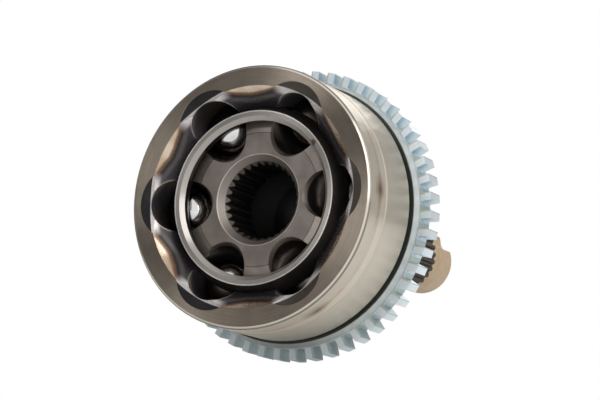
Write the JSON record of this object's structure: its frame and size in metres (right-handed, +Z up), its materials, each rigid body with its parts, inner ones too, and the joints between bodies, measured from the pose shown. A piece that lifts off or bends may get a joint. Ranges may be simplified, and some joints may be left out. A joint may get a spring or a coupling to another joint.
{
  "type": "cv joint",
  "caption": "Fixed-ball constant-velocity joint: open bell with splined stub shaft, toothed speed ring, caged balls and a splined inner race that tilts.",
  "frame": {"origin": "the joint centre, where the axes of the bell and the inner race cross", "axes": "+Y along the joint from the open mouth to the threaded end of the stub, +Z up along the hinge axis that is modelled, +X through the centre of one ball"},
  "size_m": [0.102, 0.147, 0.102],
  "materials": {
    "bell_steel": "ground and turned steel, warm grey, with a forged, heat-tinted mouth and tracks",
    "zinc_plate": "bluish-white zinc plating on steel",
    "cage_steel": "turned and hardened steel, grey, dark on the outer sphere",
    "race_steel": "hardened steel, brownish grey, dark in the bore",
    "ball_chrome": "polished bearing balls"
  },
  "bodies": {
    "bell": {"outer_race": "bell_steel", "tone_ring": "zinc_plate"},
    "race": {"inner_race": "race_steel"},
    "cage": {"cage": "cage_steel"},
    "ball_1": {"ball_1": "ball_chrome"},
    "ball_2": {"ball_2": "ball_chrome"},
    "ball_3": {"ball_3": "ball_chrome"},
    "ball_4": {"ball_4": "ball_chrome"},
    "ball_5": {"ball_5": "ball_chrome"},
    "ball_6": {"ball_6": "ball_chrome"}
  },
  "joints": [
    {"name": "articulation", "type": "hinge", "parent": "bell", "child": "race", "pos_m": [0, 0, 0], "axis": [0, 0, 1], "range_deg": [-46, 46]},
    {"name": "cage_tilt", "type": "hinge", "parent": "bell", "child": "cage", "pos_m": [0, 0, 0], "axis": [0, 0, 1], "range_deg": [-23, 23]},
    {"name": "ball_1_roll", "type": "hinge", "parent": "bell", "child": "ball_1", "pos_m": [0, -0.0035, 0], "axis": [0, 0, 1], "range_deg": [-23, 23]},
    {"name": "ball_2_roll", "type": "hinge", "parent": "bell", "child": "ball_2", "pos_m": [0, -0.0035, 0], "axis": [0.866, 0, 0.5], "range_deg": [-12, 12]},
    {"name": "ball_3_roll", "type": "hinge", "parent": "bell", "child": "ball_3", "pos_m": [0, -0.0035, 0], "axis": [0.866, 0, -0.5], "range_deg": [-12, 12]},
    {"name": "ball_4_roll", "type": "hinge", "parent": "bell", "child": "ball_4", "pos_m": [0, -0.0035, 0], "axis": [0, 0, -1], "range_deg": [-23, 23]},
    {"name": "ball_5_roll", "type": "hinge", "parent": "bell", "child": "ball_5", "pos_m": [0, -0.0035, 0], "axis": [-0.866, 0, -0.5], "range_deg": [-12, 12]},
    {"name": "ball_6_roll", "type": "hinge", "parent": "bell", "child": "ball_6", "pos_m": [0, -0.0035, 0], "axis": [-0.866, 0, 0.5], "range_deg": [-12, 12]}
  ],
  "couplings": [
    {"joint": "cage_tilt", "follows": "articulation", "ratio": 0.5},
    {"joint": "ball_1_roll", "follows": "articulation", "ratio": 0.5},
    {"joint": "ball_2_roll", "follows": "articulation", "ratio": 0.2605},
    {"joint": "ball_3_roll", "follows": "articulation", "ratio": -0.2605},
    {"joint": "ball_4_roll", "follows": "articulation", "ratio": -0.5},
    {"joint": "ball_5_roll", "follows": "articulation", "ratio": -0.2605},
    {"joint": "ball_6_roll", "follows": "articulation", "ratio": 0.2605}
  ]
}
